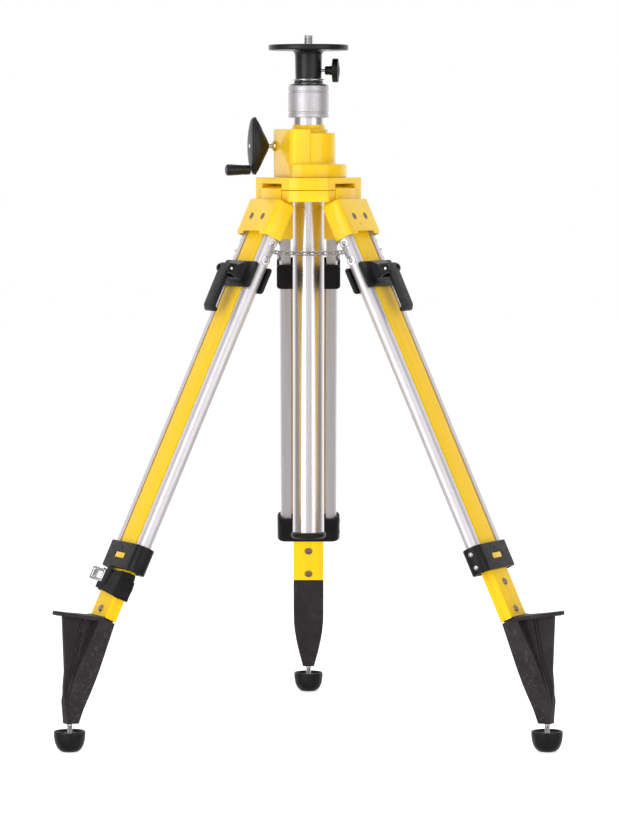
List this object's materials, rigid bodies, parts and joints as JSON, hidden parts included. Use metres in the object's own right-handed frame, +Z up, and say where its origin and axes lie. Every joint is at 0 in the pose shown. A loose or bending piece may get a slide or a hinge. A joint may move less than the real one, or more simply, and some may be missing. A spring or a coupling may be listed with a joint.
{
  "type": "elevating tripod",
  "caption": "Elevating instrument tripod with a geared mast, crank, three telescoping clamp-lock legs, leg chains and swivel rubber feet.",
  "frame": {"origin": "middle of the footprint's bounding box, on the floor", "axes": "+Z up along the mast, -Y the front: one leg runs to +Y and two run to the front left and front right"},
  "size_m": [0.876, 0.7642, 1.228],
  "materials": {
    "yellow_paint": "gloss",
    "black_casting": "satin",
    "dark_ring": "satin",
    "anodised": "satin",
    "steel": "bright",
    "brass": "bright",
    "rubber": "matte",
    "webbing": "matte"
  },
  "bodies": {
    "hub": {"hub_plate": "yellow_paint", "hub_base": "yellow_paint", "gearbox_housing": "yellow_paint", "crank_bush": "brass", "rear_hinge_pin": "steel", "left_hinge_pin": "steel", "right_hinge_pin": "steel", "chain_rear_left": "steel", "chain_left_right": "steel", "chain_right_rear": "steel"},
    "mast": {"mast_tube": "anodised", "mast_rack": "steel", "mast_end_cap": "black_casting"},
    "crank": {"pinion_shaft": "steel", "crank_arm": "black_casting"},
    "crank_grip": {"crank_handle": "black_casting"},
    "inner_mast": {"inner_mast": "anodised", "neck_ring": "steel", "neck_bumper": "dark_ring"},
    "twist_collar": {"knurled_collar": "anodised", "collar_cap": "dark_ring"},
    "head": {"head_casting": "black_casting", "head_stud": "steel"},
    "knob": {"thumb_knob": "black_casting"},
    "rear_leg": {"rear_shoulder": "yellow_paint", "rear_rail_a": "anodised", "rear_rail_b": "anodised", "rear_clamp_body": "black_casting", "rear_lever_pin": "steel", "rear_guide_collar": "black_casting"},
    "rear_lever": {"rear_clamp_lever": "black_casting"},
    "rear_lower_leg": {"rear_inner_leg": "yellow_paint", "rear_foot_casting": "black_casting"},
    "rear_foot": {"rear_foot_stem": "steel", "rear_foot_pad": "rubber"},
    "left_leg": {"left_shoulder": "yellow_paint", "left_rail_a": "anodised", "left_rail_b": "anodised", "left_clamp_body": "black_casting", "left_lever_pin": "steel", "left_guide_collar": "black_casting"},
    "left_lever": {"left_clamp_lever": "black_casting"},
    "left_lower_leg": {"left_inner_leg": "yellow_paint", "left_foot_casting": "black_casting", "leg_strap": "webbing", "strap_buckle": "steel"},
    "left_foot": {"left_foot_stem": "steel", "left_foot_pad": "rubber"},
    "right_leg": {"right_shoulder": "yellow_paint", "right_rail_a": "anodised", "right_rail_b": "anodised", "right_clamp_body": "black_casting", "right_lever_pin": "steel", "right_guide_collar": "black_casting"},
    "right_lever": {"right_clamp_lever": "black_casting"},
    "right_lower_leg": {"right_inner_leg": "yellow_paint", "right_foot_casting": "black_casting"},
    "right_foot": {"right_foot_stem": "steel", "right_foot_pad": "rubber"}
  },
  "joints": [
    {"name": "mast_slide", "type": "slide", "parent": "hub", "child": "mast", "axis": [0, 0, 1], "range_m": [-0.011, 0.5]},
    {"name": "crank_turn", "type": "hinge", "parent": "hub", "child": "crank", "pos_m": [-0.01495, -0.07796, 1.034], "axis": [-0.9397, -0.342, 0], "range_deg": [-51, 2300]},
    {"name": "crank_grip_turn", "type": "hinge", "parent": "crank", "child": "crank_grip", "pos_m": [-0.10892, -0.11216, 0.992], "axis": [-0.9397, -0.342, 0], "continuous": true},
    {"name": "inner_mast_slide", "type": "slide", "parent": "mast", "child": "inner_mast", "axis": [0, 0, 1], "range_m": [0, 0.4]},
    {"name": "twist_collar_turn", "type": "hinge", "parent": "mast", "child": "twist_collar", "pos_m": [0, -0.11903, 1.11], "axis": [0, 0, 1], "range_deg": [0, 180]},
    {"name": "head_turn", "type": "hinge", "parent": "inner_mast", "child": "head", "pos_m": [0, -0.11903, 1.17], "axis": [0, 0, 1], "continuous": true},
    {"name": "thumb_knob_turn", "type": "hinge", "parent": "head", "child": "knob", "pos_m": [0.04483, -0.12295, 1.166], "axis": [0.9962, -0.0872, 0], "range_deg": [0, 720]},
    {"name": "rear_leg_fold", "type": "hinge", "parent": "hub", "child": "rear_leg", "pos_m": [0, -0.05702, 0.948], "axis": [-1, 0, 0], "range_deg": [0, 24], "deforming": ["chain_rear_left"]},
    {"name": "rear_leg_extend", "type": "slide", "parent": "rear_leg", "child": "rear_lower_leg", "axis": [0, 0.4305, -0.9026], "range_m": [0, 0.55]},
    {"name": "rear_lever_turn", "type": "hinge", "parent": "rear_leg", "child": "rear_lever", "pos_m": [0, 0.0462, 0.82218], "axis": [1, 0, 0], "range_deg": [0, 100]},
    {"name": "rear_foot_tilt", "type": "hinge", "parent": "rear_lower_leg", "child": "rear_foot", "pos_m": [0, 0.35297, 0.061], "axis": [-1, 0, 0], "range_deg": [-12, 12]},
    {"name": "left_leg_fold", "type": "hinge", "parent": "hub", "child": "left_leg", "pos_m": [-0.05369, -0.15002, 0.948], "axis": [0.5, -0.866, 0], "range_deg": [0, 24], "deforming": ["chain_left_right"]},
    {"name": "left_leg_extend", "type": "slide", "parent": "left_leg", "child": "left_lower_leg", "axis": [-0.3728, -0.2153, -0.9026], "range_m": [0, 0.55]},
    {"name": "left_lever_turn", "type": "hinge", "parent": "left_leg", "child": "left_lever", "pos_m": [-0.14309, -0.20164, 0.82218], "axis": [-0.5, 0.866, 0], "range_deg": [0, 100]},
    {"name": "left_foot_tilt", "type": "hinge", "parent": "left_lower_leg", "child": "left_foot", "pos_m": [-0.40876, -0.35502, 0.061], "axis": [0.5, -0.866, 0], "range_deg": [-12, 12]},
    {"name": "right_leg_fold", "type": "hinge", "parent": "hub", "child": "right_leg", "pos_m": [0.05369, -0.15002, 0.948], "axis": [0.5, 0.866, 0], "range_deg": [0, 24], "deforming": ["chain_right_rear"]},
    {"name": "right_leg_extend", "type": "slide", "parent": "right_leg", "child": "right_lower_leg", "axis": [0.3728, -0.2153, -0.9026], "range_m": [0, 0.55]},
    {"name": "right_lever_turn", "type": "hinge", "parent": "right_leg", "child": "right_lever", "pos_m": [0.14309, -0.20164, 0.82218], "axis": [-0.5, -0.866, 0], "range_deg": [0, 100]},
    {"name": "right_foot_tilt", "type": "hinge", "parent": "right_lower_leg", "child": "right_foot", "pos_m": [0.40876, -0.35502, 0.061], "axis": [0.5, 0.866, 0], "range_deg": [-12, 12]}
  ],
  "couplings": [
    {"joint": "crank_turn", "follows": "mast_slide", "rad_per_m": 80}
  ]
}
